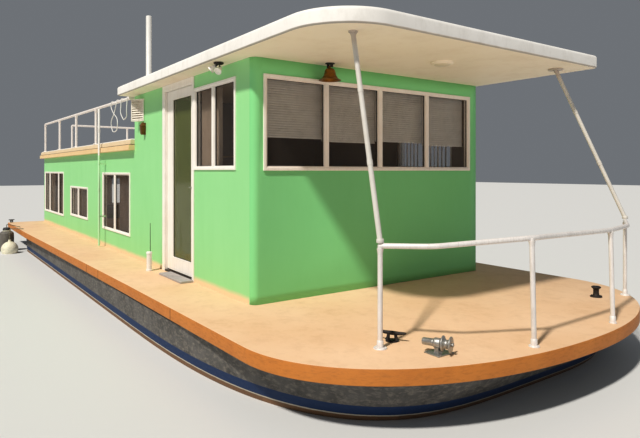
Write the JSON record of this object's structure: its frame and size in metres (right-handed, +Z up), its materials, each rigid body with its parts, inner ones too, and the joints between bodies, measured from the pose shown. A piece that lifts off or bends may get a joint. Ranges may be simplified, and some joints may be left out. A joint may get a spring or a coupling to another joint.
{
  "type": "houseboat",
  "caption": "Liveaboard houseboat: flat-bottomed hull, full-length deck, tall forward cabin under an overhanging roof, long low aft cabin with a railed roof deck and a stern drive.",
  "frame": {"origin": "on the flat bottom of the hull, on its centreline and amidships", "axes": "+X towards the bow, +Y to port, +Z up"},
  "size_m": [12.27, 4.55, 3.93],
  "materials": {
    "green_paint": "satin, weathered",
    "white_paint": "chalky, grimed",
    "tan_paint": "matt deck paint",
    "deck_paint": "matt, sanded deck paint with worn patches",
    "hull_paint": "matt grey, stained, with a blue line",
    "glass": "clear window glass",
    "white_plastic": "white plastic",
    "grey_rubber": "grey rubber, scuffed",
    "grey_board": "grey painted board",
    "steel_pipe": "galvanised and dulled",
    "chrome": "polished, pitted",
    "iron": "black, worn",
    "brass": "tarnished",
    "bronze": "dull bronze",
    "drive_paint": "black marine paint"
  },
  "bodies": {
    "boat": {"hull": "hull_paint", "deck": "deck_paint", "wall_front": "green_paint", "wall_tall_starboard": "green_paint", "wall_tall_port": "green_paint", "wall_low_starboard": "green_paint", "wall_low_port": "green_paint", "bulkhead": "green_paint", "wall_aft": "green_paint", "roof_main": "white_paint", "roof_low": "tan_paint", "frame_front": "white_paint", "glass_front": "glass", "frame_aft": "white_paint", "glass_aft": "glass", "frame_tall_starboard": "white_paint", "glass_tall_starboard": "glass", "frame_tall_port": "white_paint", "glass_tall_port": "glass", "frame_low1_starboard": "white_paint", "glass_low1_starboard": "glass", "frame_low1_port": "white_paint", "glass_low1_port": "glass", "frame_low2_starboard": "white_paint", "glass_low2_starboard": "glass", "frame_low2_port": "white_paint", "glass_low2_port": "glass", "frame_low3_starboard": "white_paint", "glass_low3_starboard": "glass", "frame_low3_port": "white_paint", "glass_low3_port": "glass", "door_frame": "white_paint", "door_step": "grey_board", "bow_rail": "steel_pipe", "bow_post_starboard": "steel_pipe", "bow_post_port": "steel_pipe", "strut_starboard": "steel_pipe", "strut_port": "steel_pipe", "roof_rail_starboard": "white_paint", "roof_rail_port": "white_paint", "roof_ladder": "steel_pipe", "windlass_base": "chrome", "cleat_bow": "iron", "cleat_stern": "iron", "bitt_bow": "iron", "bell_bracket": "iron", "vent_box": "white_plastic", "conduit": "white_plastic", "vent_stack": "white_plastic", "fender_white": "white_plastic", "fender_grey": "grey_rubber", "drive_mount": "drive_paint"},
    "door": {"door_leaf": "white_paint", "door_glass": "glass"},
    "bell": {"bell": "brass"},
    "windlass_drum": {"windlass_drum": "chrome"},
    "drive_swivel": {"drive_swivel": "drive_paint"},
    "drive_leg": {"drive_leg": "drive_paint"},
    "propeller": {"propeller": "bronze"}
  },
  "joints": [
    {"name": "door_swing", "type": "hinge", "parent": "boat", "child": "door", "pos_m": [1.9043, -1.334, 1.9], "axis": [0, 0, 1], "range_deg": [0, 95]},
    {"name": "bell_swing", "type": "hinge", "parent": "boat", "child": "bell", "pos_m": [4.126, -0.673, 2.957], "axis": [1, 0, 0], "range_deg": [-25, 25]},
    {"name": "windlass_turn", "type": "hinge", "parent": "boat", "child": "windlass_drum", "pos_m": [5.848, -1.033, 0.9203], "axis": [0.9063, 0.4226, 0], "continuous": true},
    {"name": "drive_steer", "type": "hinge", "parent": "boat", "child": "drive_swivel", "pos_m": [-4.38, 0, 0.4], "axis": [0, 0, 1], "range_deg": [-30, 30]},
    {"name": "drive_tilt", "type": "hinge", "parent": "drive_swivel", "child": "drive_leg", "pos_m": [-4.51, 0, 0.38], "axis": [0, 1, 0], "range_deg": [-50, 0]},
    {"name": "propeller_spin", "type": "hinge", "parent": "drive_leg", "child": "propeller", "pos_m": [-5.1346, 0, 0.3154], "axis": [0.6428, 0, -0.766], "continuous": true}
  ]
}
